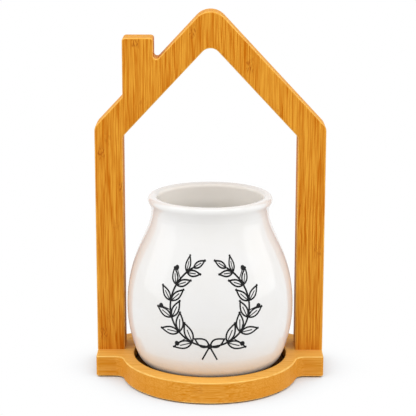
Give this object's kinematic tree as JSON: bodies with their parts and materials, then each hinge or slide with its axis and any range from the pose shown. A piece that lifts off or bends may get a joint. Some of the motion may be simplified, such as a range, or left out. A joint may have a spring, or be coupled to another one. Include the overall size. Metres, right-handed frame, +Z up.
{
  "type": "utensil crock on a house-shaped stand",
  "caption": "White glazed belly crock for utensils, standing in a round recess of a bamboo base board between the posts of a house-shaped bamboo frame with a chimney.",
  "frame": {"origin": "on the table, under the middle of the footprint; the crock's axis is 11.85 mm in front of it", "axes": "+Z up, -Y towards the front from which the house shape is seen, +X to the right from there"},
  "size_m": [0.184, 0.1694, 0.2943],
  "materials": {
    "glaze": "gloss white glaze",
    "bamboo_base": "satin lacquered bamboo",
    "bamboo_frame": "satin lacquered bamboo",
    "screw_steel": "zinc plated",
    "pad_rubber": "matt"
  },
  "bodies": {
    "stand": {"base_board": "bamboo_base", "house_frame": "bamboo_frame", "post_screw_left_front": "screw_steel", "post_screw_left_back": "screw_steel", "post_screw_right_front": "screw_steel", "post_screw_right_back": "screw_steel", "foot_pad_left_front": "pad_rubber", "foot_pad_left_back": "pad_rubber", "foot_pad_right_front": "pad_rubber", "foot_pad_right_back": "pad_rubber"},
    "crock": {"crock": "glaze"}
  },
  "joints": [
    {"name": "crock_lift_out", "type": "slide", "parent": "stand", "child": "crock", "axis": [0, -0.7071, 0.7071], "range_m": [0, 0.21]}
  ]
}
